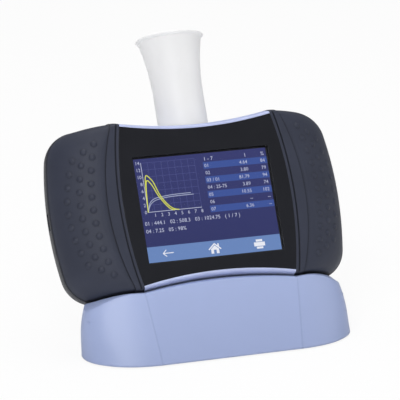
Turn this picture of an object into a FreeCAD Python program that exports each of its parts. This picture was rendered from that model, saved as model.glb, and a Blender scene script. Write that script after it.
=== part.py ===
import FreeCAD, Part
import math
import os
import re
from FreeCAD import Placement, Rotation, Vector

# Handheld spirometer with its breathing tube, leaning back in a desk cradle.
# Millimetres. The row's origin is the middle of the cradle's underside, +Z up, the front faces -Y.
# The handheld's own frame leans back with it: x right, y from its front face into its back, z up its face.

doc = FreeCAD.newDocument("spirometer")
sheet = doc.addObject("Spreadsheet::Sheet", "sizes")

SIZES = {
    # How the handheld stands
    "lean_angle": 28,
    "face_setback": -2.6,
    "face_height": 71.8,
    # Outer form of the handheld
    "device_width": 154,
    "device_height": 90.4,
    "device_depth": 36,
    "parting_depth": 19.5,
    "waist_half_span": 42,
    "shoulder_inset": 17,
    "waist_drop": 4,
    "face_half_span": 54.5,
    "side_inset_front": "=device_width / 2 - face_half_span",
    "top_inset_front": 4,
    "side_inset_rear": 8.5,
    "top_inset_rear": 4.2,
    "front_crown_power": 1.6,
    "rear_crown_power": 2.2,
    "housing_wall": 2.2,
    "front_wall": 1.8,
    "grip_thickness": 2,
    "seat_gap": 0.3,
    # Screen
    "bezel_half_width": 40,
    "bezel_half_height": 40.5,
    "bezel_side_bulge": 4.3,
    "bezel_thickness": 1.6,
    "screen_width": 70.1,
    "screen_height": 52.6,
    "screen_drop": 2.9,
    "panel_margin": 0.8,
    "panel_thickness": 1.2,
    "display_width": 76.8,
    "display_height": 60.6,
    "display_thickness": 2.6,
    "gasket_width": 2,
    "gasket_thickness": 0.4,
    # Grips
    "lip_width": 1.3,
    "groove_width": 0.8,
    "groove_depth": 0.6,
    "crease_inset": 25.2,
    "crease_bulge": 6.3,
    "crease_half_height": 38,
    "field_drop": 0.35,
    "nub_radius": 1.65,
    "nub_height": 0.55,
    "nub_root": 1,
    "nub_dome": "=(nub_radius ^ 2 + nub_height ^ 2) / (2 * nub_height)",
    "nub_pitch": 6.6,
    "nub_rows": 3,
    "nub_count": 11,
    "nub_row_pitch": 5.5,
    "nub_row_inset": 23,
    "nub_row_bow": 5.3,
    # Breathing tube and the tunnel that it slides through
    "tube_depth": 19.5,
    "tube_radius": 12.75,
    "tube_wall": 1.1,
    "tube_foot": 39.2,
    "tube_straight_top": 58,
    "tube_top": 88.6,
    "mouth_half_width": 16.9,
    "mouth_half_depth": 14.2,
    "flare_power": 2.1,
    "lip_roll": 0.9,
    "tunnel_gap": 0.35,
    "tunnel_wall": 1,
    "tunnel_half_length": 42.5,
    "ledge_height": 3.1,
    "ledge_radius": 11.4,
    "window_radius": 5,
    "beam_angle": 59,
    "transducer_radius": 5.4,
    "transducer_length": 7,
    "boot_wall": 1.2,
    "mesh_thickness": 0.3,
    # Boards and battery
    "board_thickness": 1.6,
    "board_half_height": 33,
    "board_inner": 29,
    "board_edge_gap": 7.5,
    "board_outer": "=device_width / 2 - board_edge_gap",
    "main_board_depth": 24.2,
    "power_board_depth": 21.6,
    "ribbon_thickness": 0.3,
    "port_width": 8,
    "port_height": 3,
    "port_wall": 0.4,
    "port_length": 7.5,
    "door_inset": 21,
    "door_width": 29,
    "door_right": "=device_width / 2 - door_inset",
    "door_left": "=door_right - door_width",
    "door_bottom": -14,
    "door_top": 32,
    "door_thickness": 1.4,
    "door_lip": 1.5,
    "battery_thickness": 7.6,
    "button_radius": 4,
    "button_depth": 25.5,
    "button_length": 5.6,
    "button_proud": 0.1,
    "button_travel": 0.8,
    "button_flange": 0.8,
    "flange_thickness": 0.6,
    "switch_size": 6,
    "radio_width": 16,
    "radio_height": 20,
    "radio_thickness": 2.4,
    "radio_inset": 8,
    "radio_rise": 6,
    "buzzer_radius": 5,
    "buzzer_height": 4,
    "buzzer_inset": 16,
    "buzzer_drop": 18,
    "screw_inset": 15.5,
    "screw_across": "=device_width / 2 - screw_inset",
    "screw_up": 26,
    "screw_radius": 1.5,
    "screw_head_radius": 2.8,
    "screw_head_height": 1.8,
    "screw_length": 20,
    "boss_radius": 3.4,
    # Charging contacts, the same places on the handheld and on the cradle
    "contact_across": 27,
    "contact_depth": 12,
    "contact_pitch": 4,
    "contact_count": 3,
    "pad_radius": 1.5,
    "pad_thickness": 0.8,
    "pad_face": 41.1,
    "pin_radius": 0.7,
    "barrel_radius": 1.3,
    "pin_proud": 2.1,
    "barrel_length": 7,
    # Cradle
    "cradle_width": 141,
    "cradle_depth": 78,
    "cradle_front": 40,
    "cradle_rear": "=cradle_depth - cradle_front",
    "cradle_top": 38,
    "cradle_top_width": 126.6,
    "cradle_top_rear": 25.4,
    "cradle_wall": 2.6,
    "shell_foot": 0.6,
    "pocket_clearance": 0.6,
    "rim_centre": 35.1,
    "rim_step": 32.5,
    "rim_half_span": 40,
    "rim_end_span": 65.6,
    "rim_end": 23.3,
    "backrest_top": 37.5,
    "backrest_half_width": 44,
    "base_thickness": 2.4,
    "base_pad_width": 92,
    "base_pad_depth": 52,
    "base_pad_thickness": 1.2,
    "base_pad_corner": 8,
    "ballast_width": 92,
    "ballast_depth": 34,
    "ballast_thickness": 4,
    "ballast_front": 24,
    "column_height": 16,
    "column_bore_length": 10.5,
    "front_screw_inset": 8,
    "front_screw_depth": 16,
    "rear_screw_inset": 20.5,
    "rear_screw_depth": 14,
    "foot_screw_length": 9,
    "foot_screw_start": 1.5,
    "foot_head_height": 1,
    "foot_head_seat": 0.65,
    "foot_sink_depth": 1.7,
    "stand_radius": 2,
    "charge_board_front": 14,
    "charge_board_depth": 17,
    "charge_board_left": 15,
    "charge_board_right": 13,
    "rest_pad_across": 47,
    "rest_pad_radius": 5,
    "rest_pad_thickness": 1,
    "socket_across": 24,
    "socket_width": 9,
    "socket_height": 4,
    "socket_length": 7.5,
    "socket_wall": 0.6,
    "socket_centre_height": 9.6,
    "socket_back": 28,
}

for row, (alias, number) in enumerate(SIZES.items(), start=1):
    sheet.set("A%d" % row, alias)
    sheet.set("B%d" % row, str(number))
    sheet.setAlias("B%d" % row, alias)
doc.recompute()


class Values:
    """The sheet's numbers, for outlines that are worked out here."""


v = Values()
for alias in SIZES:
    setattr(v, alias, float(getattr(sheet, alias)))

half_width = v.device_width / 2
half_height = v.device_height / 2
lean = math.radians(v.lean_angle)
parts = {}


def words(text):
    """An expression on the sheet's aliases, such as "tube_depth - tube_radius"."""
    return re.sub(r"[a-z]\w*\b(?!\()", lambda found: "sizes." + found.group(0), text)


def bind(obj, path, text):
    obj.setExpression(path, words(text))


def box(name, low, high):
    """A box between two corners, each given as three expressions."""
    obj = doc.addObject("Part::Box", name)
    for axis, side, start, end in zip("xyz", ("Length", "Width", "Height"), low, high):
        bind(obj, "Placement.Base." + axis, start)
        bind(obj, side, "(%s) - (%s)" % (end, start))
    return obj


TURNS = {
    "x": Rotation(Vector(0, 1, 0), 90),
    "y": Rotation(Vector(1, 0, 0), -90),
    "z": Rotation(),
}


def rod(name, radius, length, base, axis="z"):
    """A cylinder from its base point along +x, +y or +z."""
    obj = doc.addObject("Part::Cylinder", name)
    obj.Placement = Placement(Vector(), TURNS[axis])
    bind(obj, "Radius", radius)
    bind(obj, "Height", length)
    for letter, text in zip("xyz", base):
        bind(obj, "Placement.Base." + letter, text)
    return obj


def fuse(name, *shapes):
    obj = doc.addObject("Part::MultiFuse", name)
    obj.Shapes = list(shapes)
    return obj


def cut(name, base, *tools):
    obj = doc.addObject("Part::Cut", name)
    obj.Base = base
    obj.Tool = tools[0] if len(tools) == 1 else fuse(name + "_tools", *tools)
    return obj


def common(name, base, tool):
    obj = doc.addObject("Part::Common", name)
    obj.Base = base
    obj.Tool = tool
    return obj


def sketch(name, edges, placement):
    """A closed outline, its edges given in order and joined end to start."""
    obj = doc.addObject("Sketcher::SketchObject", name)
    obj.Placement = placement
    obj.addGeometry(edges, False)
    return obj


def facing(depth):
    """The plane of a front view of the handheld, at a depth behind its front face."""
    return Placement(Vector(0, depth, 0), Rotation(Vector(1, 0, 0), 90))


def level(height):
    return Placement(Vector(0, 0, height), Rotation())


def line(start, end):
    return Part.LineSegment(Vector(*start, 0), Vector(*end, 0))


def arc(start, middle, end):
    return Part.Arc(Vector(*start, 0), Vector(*middle, 0), Vector(*end, 0))


def polygon(*points):
    return [line(a, b) for a, b in zip(points, points[1:] + points[:1])]


def loft(name, sections, ruled=False):
    obj = doc.addObject("Part::Loft", name)
    obj.Sections = sections
    obj.Solid = True
    obj.Ruled = ruled
    return obj


def extrude(name, profile, start, end):
    """A front-view outline carried from one depth to another."""
    obj = doc.addObject("Part::Extrusion", name)
    obj.Base = profile
    obj.DirMode = "Custom"
    obj.Dir = Vector(0, 1, 0)
    obj.Solid = True
    bind(obj, "LengthFwd", end)
    bind(obj, "LengthRev", "-(%s)" % start)
    return obj


def leaned(obj):
    """The same shape, carried from the handheld's own frame to where the handheld stands."""
    group = doc.addObject("Part::Compound", obj.Name + "_leaned")
    group.Links = [obj]
    group.Placement = Placement(Vector(), Rotation(Vector(-1, 0, 0), 1))
    bind(group, "Placement.Base.y", "face_setback")
    bind(group, "Placement.Base.z", "face_height")
    bind(group, "Placement.Rotation.Angle", "lean_angle")
    return group


def keep(label, obj, leaning=True):
    """Names a finished sub-part, and leans it back where it belongs to the handheld."""
    parts[label] = leaned(obj) if leaning else obj
    parts[label].Label = label


# Outer form of the handheld: stacked outlines, full at the parting line and smaller towards both faces

def outline(fullness, side_inset, top_inset, corner_pull, grow):
    """The handheld's outline at one depth, waisted above and below and bulged at the ends."""
    shrink = 1 - fullness
    side = shrink * side_inset
    top = shrink * top_inset
    corner = top * (1 + 0.45 * corner_pull)
    flank = top * (1 + corner_pull)
    full = half_width
    tall = half_height
    waist = (0, tall - v.waist_drop - top + grow)
    crest = (v.waist_half_span - 0.07 * side, tall - top + grow)
    shoulder = (full - v.shoulder_inset - 0.7 * side + 0.15 * grow, tall - 1.7 - 0.98 * top + grow)
    brow = (crest[0] + 0.53 * (shoulder[0] - crest[0]), tall - 0.45 - top + grow)
    bend = (full - 7.45 - 0.9 * side + 0.7 * grow, tall - 6 - corner + 0.7 * grow)
    hip = (full - 2.5 - 0.975 * side + grow, tall - 15.2 - flank + 0.2 * grow)
    end = (full - side + grow, 0)

    def at(point, x, z):
        return (x * point[0], z * point[1])

    edges = [arc(at(crest, -1, 1), waist, at(crest, 1, 1))]
    for x, z in ((1, 1), (1, -1), (-1, -1), (-1, 1)):
        quarter = [
            (at(crest, x, z), at(brow, x, z), at(shoulder, x, z)),
            (at(shoulder, x, z), at(bend, x, z), at(hip, x, z)),
        ]
        if x * z > 0:
            edges += [arc(*piece) for piece in quarter]
        else:
            edges += [arc(c, b, a) for a, b, c in reversed(quarter)]
        if (x, z) == (1, 1):
            edges.append(arc(at(hip, 1, 1), end, at(hip, 1, -1)))
        if (x, z) == (1, -1):
            edges.append(arc(at(crest, 1, -1), at(waist, 1, -1), at(crest, -1, -1)))
        if (x, z) == (-1, -1):
            edges.append(arc(at(hip, -1, -1), at(end, -1, 1), at(hip, -1, 1)))
    return edges


def crown(fraction, power):
    """How full the outline is, from 0 on a face to 1 at the parting line."""
    return (1 - (1 - fraction) ** power) ** (1 / power)


SMOOTH = (0, 0.04, 0.14, 0.34, 0.62, 1)
CLOSE = (0, 0.02, 0.06, 0.14, 0.26, 0.44, 0.7, 1)
PLAIN = (0, 0.14, 0.5, 1)


def front_form(name, grow=0, face=0, stations=SMOOTH):
    """The front half of the form, grown or shrunk all round, its face at a given depth."""
    sections = []
    for number, fraction in enumerate(stations):
        depth = face + fraction * (v.parting_depth - face)
        fullness = crown(fraction, v.front_crown_power)
        edges = outline(fullness, v.side_inset_front, v.top_inset_front, 1, grow)
        sections.append(sketch("%s_%d" % (name, number), edges, facing(depth)))
    return loft(name, sections, stations is not SMOOTH)


def rear_form(name, grow=0, back=None, stations=SMOOTH):
    """The rear half, fuller towards its corners than the front."""
    back = v.device_depth if back is None else back
    sections = []
    for number, fraction in enumerate(stations):
        depth = back + fraction * (v.parting_depth - back)
        fullness = crown(fraction, v.rear_crown_power)
        edges = outline(fullness, v.side_inset_rear, v.top_inset_rear, -0.3, grow)
        sections.append(sketch("%s_%d" % (name, number), edges, facing(depth)))
    return loft(name, sections, stations is not SMOOTH)


def bowed_line(x_sign, foot, half, bulge, offset, reach):
    """A bulged upright line, moved outwards, as three points going up."""
    radius = (half ** 2 + bulge ** 2) / (2 * bulge)
    centre = foot + bulge - radius
    far = centre + math.sqrt((radius + offset) ** 2 - reach ** 2)
    return (x_sign * far, -reach), (x_sign * (centre + radius + offset), 0), (x_sign * far, reach)


def bezel_side(x_sign, offset, reach):
    """The line between bezel and grip."""
    return bowed_line(x_sign, v.bezel_half_width, v.bezel_half_height, v.bezel_side_bulge, offset, reach)


def beyond(name, x_sign, side_line, start, end):
    """All that lies outside an upright line, from one depth to another."""
    low, middle, high = side_line
    far = x_sign * (half_width + 8)
    edges = [arc(low, middle, high)]
    edges.append(line(high, (far, high[1])))
    edges.append(line((far, high[1]), (far, low[1])))
    edges.append(line((far, low[1]), low))
    return extrude(name, sketch(name + "_line", edges, facing(0)), start, end)


front_blank = front_form("front_blank")
rear_blank = rear_form("rear_blank")
grip_core = front_form("grip_core", -v.grip_thickness, v.grip_thickness, PLAIN)
front_hollow = front_form(
    "front_hollow", -v.grip_thickness - v.housing_wall, v.bezel_thickness + v.front_wall, PLAIN)
rear_hollow = rear_form("rear_hollow", -v.housing_wall, v.device_depth - v.housing_wall, PLAIN)
field_floor = front_form("field_floor", -v.field_drop, v.field_drop)
doc.recompute()


# Grips: a skin over the ends of the front, with a lip and a groove beside the bezel, and rows of nubs

def field_depth(x, z):
    """How deep the floor of the nub field lies at a point of the front view, found on the form itself."""
    probe = Part.makeLine(Vector(x, -1, z), Vector(x, v.parting_depth - 0.5, z))
    return min(vertex.Y for vertex in field_floor.Shape.common(probe).Vertexes)


def nub_places():
    """Bowed rows, each with one nub less than the row inside it."""
    for row in range(int(v.nub_rows)):
        count = int(v.nub_count) - row
        half_span = (count - 1) * v.nub_pitch / 2
        corner = half_width - v.nub_row_inset + row * v.nub_row_pitch
        for number in range(count):
            along = number * v.nub_pitch - half_span
            yield corner + v.nub_row_bow * (1 - (along / half_span) ** 2), along


def nubs(side, x_sign):
    """Low domes, each standing square to the floor of the nub field."""
    step = 0.5
    domes = []
    for number, (x, z) in enumerate(nub_places()):
        depth = field_depth(x, z)
        slope_x = (field_depth(x + step, z) - field_depth(x - step, z)) / (2 * step)
        slope_z = (field_depth(x, z + step) - field_depth(x, z - step)) / (2 * step)
        outwards = Vector(x_sign * slope_x, -1, slope_z).normalize()
        seat = Vector(x_sign * x, depth, z) - outwards * (v.nub_dome - v.nub_height)
        dome = doc.addObject("Part::Sphere", "%s_nub_%d" % (side, number))
        dome.Placement = Placement(seat, Rotation(Vector(0, 0, 1), outwards))
        bind(dome, "Radius", "nub_dome")
        bind(dome, "Angle1", "asin((nub_dome - nub_height - nub_root) / nub_dome)")
        domes.append(dome)
    return domes


skins = {}
above = half_height + 6
for side, x_sign in (("left", -1), ("right", 1)):
    zone = beyond(side + "_zone", x_sign, bezel_side(x_sign, 0, above), "-5", "parting_depth")
    skins[side] = cut(side + "_skin", common(side + "_end", front_blank, zone), grip_core)
    inner = beyond(side + "_inner", x_sign, bezel_side(x_sign, v.lip_width, above), "-5", "groove_depth")
    outer = beyond(side + "_outer", x_sign, bezel_side(x_sign, v.lip_width + v.groove_width, above), "-6",
                   "groove_depth + 1")
    groove = cut(side + "_groove", inner, outer)
    crease = bowed_line(x_sign, half_width - v.crease_inset - v.crease_bulge, v.crease_half_height,
                        v.crease_bulge, 0, above)
    field = cut(side + "_field", beyond(side + "_crease", x_sign, crease, "-5", "parting_depth"), field_floor)
    keep(side + "_grip", fuse(side + "_grip_solid", cut(side + "_grip_plain", skins[side], groove, field),
                              *nubs(side, x_sign)))


# Bezel, touch panel and display

def window(name, width_margin, start, end):
    low = "-screen_width/2 - %s" % width_margin, "-screen_drop - screen_height/2 - %s" % width_margin
    high = "screen_width/2 + %s" % width_margin, "screen_height/2 - screen_drop + %s" % width_margin
    return box(name, (low[0], start, low[1]), (high[0], end, high[1]))


def bezel_outline(offset):
    half = v.bezel_half_height + offset
    low, right, high = bezel_side(1, offset, half)
    left_low, left, left_high = bezel_side(-1, offset, half)
    edges = [arc(low, right, high)]
    edges.append(arc(high, (0, half - v.waist_drop), left_high))
    edges.append(arc(left_high, left, left_low))
    edges.append(arc(left_low, (0, v.waist_drop - half), low))
    return edges


bezel_line = sketch("bezel_line", bezel_outline(-0.05), facing(0))
bezel_plate = extrude("bezel_plate", bezel_line, "0", "bezel_thickness")
bezel_window = window("bezel_window", "panel_margin", "-1", "bezel_thickness + 1")
keep("bezel", cut("bezel_cut", bezel_plate, bezel_window))

touch_low = ("-screen_width/2 - panel_margin + 0.1", "0.1",
             "-screen_drop - screen_height/2 - panel_margin + 0.1")
touch_high = ("screen_width/2 + panel_margin - 0.1", "0.1 + panel_thickness",
              "screen_height/2 - screen_drop + panel_margin - 0.1")
keep("touch_panel", box("touch_box", touch_low, touch_high))

gasket_back = "bezel_thickness + gasket_thickness"
gasket_low = ("-display_width/2", "bezel_thickness", "-screen_drop - display_height/2")
gasket_high = ("display_width/2", gasket_back, "display_height/2 - screen_drop")
gasket_hole = box(
    "gasket_hole",
    ("gasket_width - display_width/2", "0", "gasket_width - screen_drop - display_height/2"),
    ("display_width/2 - gasket_width", "9", "display_height/2 - screen_drop - gasket_width"))
keep("display_gasket", cut("gasket_cut", box("gasket_box", gasket_low, gasket_high), gasket_hole))

display_back = gasket_back + " + display_thickness"
keep("display_module", box("display_box", (gasket_low[0], gasket_back, gasket_low[2]),
                           (gasket_high[0], display_back, gasket_high[2])))


# Breathing tube: a straight pipe that flares to an oval mouth with a rolled lip

def ring(name, height, half_x, half_y):
    obj = doc.addObject("Sketcher::SketchObject", name)
    obj.Placement = Placement(Vector(0, v.tube_depth, height), Rotation())
    if half_x == half_y:
        obj.addGeometry(Part.Circle(Vector(), Vector(0, 0, 1), half_x), False)
    else:
        obj.addGeometry(Part.Ellipse(Vector(), half_x, half_y), False)
    return obj


def tube_form(name, grow, overrun):
    """A straight pipe that opens into an oval trumpet."""
    rise = v.tube_top - v.tube_straight_top
    pipe = rod(name + "_pipe", "tube_radius + (%s)" % grow, "tube_straight_top + tube_foot + %s" % overrun,
               ("0", "tube_depth", "-tube_foot - %s" % overrun))
    rings = []
    for number, share in enumerate((0, 0.25, 0.5, 0.75, 1)):
        height = v.tube_straight_top + share * rise + (overrun if share == 1 else 0)
        widen = share ** v.flare_power
        half_x = v.tube_radius + widen * (v.mouth_half_width - v.tube_radius)
        half_y = v.tube_radius + widen * (v.mouth_half_depth - v.tube_radius)
        shrink = 0 if grow == "0" else v.tube_wall
        rings.append(ring("%s_flare_%d" % (name, number), height, half_x - shrink, half_y - shrink))
    return fuse(name, pipe, loft(name + "_trumpet", rings))


def beam(name, radius, start, length):
    """A cylinder on the sound beam, which crosses the tunnel at a slant."""
    obj = doc.addObject("Part::Cylinder", name)
    turn = Rotation(Vector(0, 1, 0), v.beam_angle)
    obj.Placement = Placement(Vector(0, v.tube_depth, 0) + turn.multVec(Vector(0, 0, start)), turn)
    bind(obj, "Radius", radius)
    obj.Height = length
    return obj


reach = (v.tube_radius + 2) / math.sin(math.radians(v.beam_angle)) + v.window_radius
windows = beam("windows", "window_radius", -reach, 2 * reach)
lip_rings = []
for number, (below, out) in enumerate(((2, -0.4), (1.35, 0.6), (0.65, 1), (0, 0.45))):
    lip_rings.append(ring("lip_%d" % number, v.tube_top - below * v.lip_roll,
                          v.mouth_half_width + out * v.lip_roll, v.mouth_half_depth + out * v.lip_roll))
tube_body = fuse("tube_body", tube_form("tube_outer", "0", 0), loft("lip", lip_rings, ruled=True))
keep("breathing_tube", cut("tube_cut", tube_body, tube_form("tube_bore", "-tube_wall", 1), windows))

mesh_skin = cut(
    "mesh_skin",
    rod("mesh_outer", "tube_radius - tube_wall/2", "80", ("0", "tube_depth", "-40")),
    rod("mesh_inner", "tube_radius - tube_wall/2 - mesh_thickness", "82", ("0", "tube_depth", "-41")))
mesh_reach = beam("mesh_reach", "window_radius", -reach, 2 * reach)
keep("tube_meshes", common("meshes", mesh_skin, mesh_reach))

# Sensor tunnel, fixed in the handheld, with the two transducers aimed across it
tunnel_out = "tube_radius + tunnel_gap + tunnel_wall"
tunnel_pipe = rod("tunnel_pipe", tunnel_out, "2*tunnel_half_length",
                  ("0", "tube_depth", "-tunnel_half_length"))
tunnel_bore = rod("tunnel_bore", "tube_radius + tunnel_gap", "2*tunnel_half_length",
                  ("0", "tube_depth", "ledge_height - tunnel_half_length"))
tunnel_foot = rod("tunnel_foot", "ledge_radius", "2*ledge_height + 2",
                  ("0", "tube_depth", "-tunnel_half_length - 1"))
boot_radius = v.transducer_radius + v.boot_wall
port_reach = 2 * reach + 8
ports = beam("ports", "window_radius + 0.5", -port_reach / 2, port_reach)
tunnel_solid = common("tunnel_solid", tunnel_pipe, fuse("device_blank", front_blank, rear_blank))
keep("sensor_tunnel", cut("tunnel_cut", tunnel_solid, tunnel_bore, tunnel_foot, ports))

tunnel_outer = v.tube_radius + v.tunnel_gap + v.tunnel_wall
boot_start = (tunnel_outer + boot_radius * math.cos(math.radians(v.beam_angle))) / math.sin(
    math.radians(v.beam_angle)) + 0.1
for side, sign in (("left", -1), ("right", 1)):
    start = boot_start if sign > 0 else -boot_start - v.transducer_length
    can = beam(side + "_can", "transducer_radius", start, v.transducer_length)
    keep(side + "_transducer", can)
    boot = beam(side + "_boot_rod", "transducer_radius + boot_wall", start, v.transducer_length)
    boot_hole = beam(side + "_boot_hole", "transducer_radius + 0.02", start - 1,
                     v.transducer_length + 2)
    keep(side + "_boot", cut(side + "_boot_cut", boot, boot_hole))


# Housings

def tunnel_way(name):
    return rod(name, tunnel_out + " + 0.05", "2*device_height", ("0", "tube_depth", "-device_height"))


def screw_places():
    for x in (-1, 1):
        for z in (-1, 1):
            yield x, z, "%d*screw_across" % x, "%d*screw_up" % z


bezel_seat = extrude("bezel_seat", sketch("seat_line", bezel_outline(0), facing(0)), "-2",
                     "bezel_thickness")
display_way = box("display_way", ("-display_width/2 - 0.2", "0", "-screen_drop - display_height/2 - 0.2"),
                  ("display_width/2 + 0.2", "8", "display_height/2 - screen_drop + 0.2"))
bosses = [rod("boss_%d%d" % (x + 1, z + 1), "boss_radius", "parting_depth - 4", (a, "4", b), "y")
          for x, z, a, b in screw_places()]
front_walls = cut("front_walls", front_blank, skins["left"], skins["right"], front_hollow, bezel_seat,
                  display_way, tunnel_way("front_way"))
boss_group = common("boss_group", fuse("boss_rods", *bosses), front_blank)
threads = [rod("thread_%d%d" % (x + 1, z + 1), "screw_radius + 0.05", "parting_depth", (a, "6", b), "y")
           for x, z, a, b in screw_places()]
contact_land = box(
    "contact_land",
    ("contact_across - contact_pitch - pad_radius - 1", "contact_depth - pad_radius - 1", "-device_height"),
    ("contact_across + contact_pitch + pad_radius + 1", "contact_depth + pad_radius + 1",
     "pad_thickness - pad_face"))
front_solid = fuse("front_solid", front_walls, cut("boss_ends", boss_group, skins["left"], skins["right"],
                                                   bezel_seat))
keep("front_housing", cut("front_cut", front_solid, contact_land, *threads))

# Rear housing, with its battery bay, screw pillars and side openings

def door_box(name, margin, start, end):
    """The battery door's outline, widened by a margin, between two depths."""
    low = "door_left - (%s)" % margin, start, "door_bottom - (%s)" % margin
    high = "door_right + %s" % margin, end, "door_top + %s" % margin
    return box(name, low, high)


pillars = [rod("pillar_%d%d" % (x + 1, z + 1), "boss_radius + 1",
               "device_depth - housing_wall/2 - parting_depth", (a, "parting_depth", b), "y")
           for x, z, a, b in screw_places()]
head_seat = "device_depth - screw_head_height - 0.8"
screw_ways = [rod("way_%d%d" % (x + 1, z + 1), "screw_radius + 0.1", "device_depth", (a, "0", b), "y")
              for x, z, a, b in screw_places()]
head_ways = [rod("head_way_%d%d" % (x + 1, z + 1), "screw_head_radius + 0.3", "device_depth",
                 (a, head_seat, b), "y") for x, z, a, b in screw_places()]
bay_wall = door_box("bay_wall", "1.2 - door_lip", "power_board_depth + board_thickness + 0.3",
                    "device_depth - housing_wall/2")
bay_way = door_box("bay_way", "-door_lip", "parting_depth", "device_depth + 1")
door_seat = door_box("door_seat", "0.25", "device_depth - door_thickness - 0.1", "device_depth + 1")
rear_room = cut("rear_room", rear_hollow, bay_wall, *pillars)
rear_solid = cut("rear_solid", rear_blank, rear_room)
port_way = box(
    "port_way",
    ("-device_width", "main_board_depth - port_height - 0.3", "-port_width/2 - 0.3"),
    ("0.3 - board_outer - port_length + 4", "main_board_depth + 0.3", "port_width/2 + 0.3"))
button_way = rod("button_way", "button_radius + seat_gap", "20", ("device_width/2 - 6", "button_depth", "0"), "x")
button_start = "device_width/2 + button_proud - button_length"
button_room = rod("button_room", "button_radius + button_flange + seat_gap", "6 + flange_thickness",
                  (button_start + " - 5.7", "button_depth", "0"), "x")
keep("rear_housing", cut("rear_cut", rear_solid, bay_way, door_seat, tunnel_way("rear_way"), port_way,
                         button_way, button_room, *screw_ways, *head_ways))

screws = []
for x, z, a, b in screw_places():
    tag = "%d%d" % (x + 1, z + 1)
    shank = rod("shank_" + tag, "screw_radius", "screw_length", (a, head_seat + " - screw_length", b), "y")
    head = rod("head_" + tag, "screw_head_radius", "screw_head_height", (a, head_seat, b), "y")
    screws.append(fuse("screw_" + tag, shank, head))
keep("housing_screws", fuse("screws", *screws))

# Battery, its door and its terminals
keep("battery_door", door_box("door_plate", "0", "device_depth - door_thickness", "device_depth"))
battery_back = "device_depth - door_thickness - 0.4"
keep("battery_pack", door_box("battery", "-door_lip - 0.25", battery_back + " - battery_thickness",
                              battery_back))
blades = []
for number, share in enumerate(("0.3", "0.7")):
    across = "door_left + %s*(door_right - door_left)" % share
    blades.append(box("blade_%d" % number,
                      (across + " - 1", "power_board_depth + board_thickness", "door_bottom + 4"),
                      (across + " + 1", battery_back + " - battery_thickness", "door_bottom + 8")))
keep("battery_terminals", fuse("blades", *blades))

# Boards and what they carry
def board(name, sign, depth):
    """A circuit board on one side of the tunnel, notched round the screw pillars."""
    inner, outer = ("board_inner", "board_outer") if sign > 0 else ("-board_outer", "-board_inner")
    plate = box(name + "_plate", (inner, depth, "-board_half_height"),
                (outer, depth + " + board_thickness", "board_half_height"))
    notch = "(screw_across - boss_radius - 1.5)"
    notches = []
    for z in (-1, 1):
        low, high = (notch, "%s + 30" % notch) if sign > 0 else ("-%s - 30" % notch, "-%s" % notch)
        up = "screw_up - boss_radius - 1.5"
        ends = (up, "board_half_height + 1") if z > 0 else ("-board_half_height - 1", "-(%s)" % up)
        notches.append(box("%s_notch_%d" % (name, z + 1), (low, "0", ends[0]),
                           (high, "device_depth", ends[1])))
    return cut(name + "_cut", plate, *notches)


keep("main_board", board("main_board", -1, "main_board_depth"))
keep("power_board", board("power_board", 1, "power_board_depth"))
main_back = "main_board_depth + board_thickness"
keep("radio_module", box("radio", ("-board_inner - radio_inset - radio_width", main_back, "radio_rise"),
                         ("-board_inner - radio_inset", main_back + " + radio_thickness",
                          "radio_rise + radio_height")))
keep("buzzer", rod("buzzer_can", "buzzer_radius", "buzzer_height",
                   ("-board_inner - buzzer_inset", main_back, "-buzzer_drop"), "y"))

shell_start = "-board_outer - port_length + 4"
port_outer = box("port_outer", (shell_start, "main_board_depth - port_height", "-port_width/2"),
                 ("4 - board_outer", "main_board_depth", "port_width/2"))
port_inner = box("port_inner",
                 (shell_start + " - 1", "main_board_depth - port_height + port_wall",
                  "port_wall - port_width/2"),
                 ("4 - board_outer - port_wall", "main_board_depth - port_wall",
                  "port_width/2 - port_wall"))
tongue = box("tongue",
             (shell_start + " + 1.5", "main_board_depth - 0.6*port_height", "port_wall + 0.8 - port_width/2"),
             ("4 - board_outer - port_wall", "main_board_depth - 0.4*port_height",
              "port_width/2 - port_wall - 0.8"))
keep("usb_port", fuse("port", cut("port_shell", port_outer, port_inner), tongue))

switch_tip = "device_width/2 + button_proud - button_length - button_travel - 0.05"
switch_back = "board_outer - 3"
switch_body = box("switch_body",
                  (switch_back, "power_board_depth + board_thickness", "-switch_size/2"),
                  ("board_outer", "button_depth + switch_size/2", "switch_size/2"))
switch_pin = rod("switch_pin", "1.4", switch_tip + " - board_outer", ("board_outer", "button_depth", "0"), "x")
keep("power_switch", fuse("switch", switch_body, switch_pin))

stem = rod("button_stem", "button_radius", "button_length", (button_start, "button_depth", "0"), "x")
flange = rod("flange", "button_radius + button_flange", "flange_thickness",
             (button_start, "button_depth", "0"), "x")
keep("power_button", fuse("button", stem, flange))

# Ribbon between the boards, folded round the front of the tunnel
ribbon_front = v.tube_depth - tunnel_outer - 0.35
ribbon_side = tunnel_outer + 1.6
left_end = (-v.board_inner - 3, v.main_board_depth)
right_end = (v.board_inner + 3, v.power_board_depth)


def ribbon_path(offset):
    return [
        (left_end[0], left_end[1] - offset),
        (-ribbon_side - 4 - offset, left_end[1] - offset),
        (-ribbon_side - offset, ribbon_front + 3 - offset),
        (-ribbon_side + 3 - offset, ribbon_front - offset),
        (ribbon_side - 3 + offset, ribbon_front - offset),
        (ribbon_side + offset, ribbon_front + 3 - offset),
        (ribbon_side + 4 + offset, right_end[1] - offset),
        (right_end[0], right_end[1] - offset),
    ]


ribbon_points = ribbon_path(0) + list(reversed(ribbon_path(v.ribbon_thickness)))
ribbon_line = sketch("ribbon_line", polygon(*ribbon_points), level(22))
ribbon = doc.addObject("Part::Extrusion", "ribbon")
ribbon.Base = ribbon_line
ribbon.DirMode = "Custom"
ribbon.Dir = Vector(0, 0, 1)
ribbon.LengthFwd = 7
ribbon.Solid = True
keep("board_ribbon", ribbon)


# Charging contacts, on the handheld and in the cradle

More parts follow.
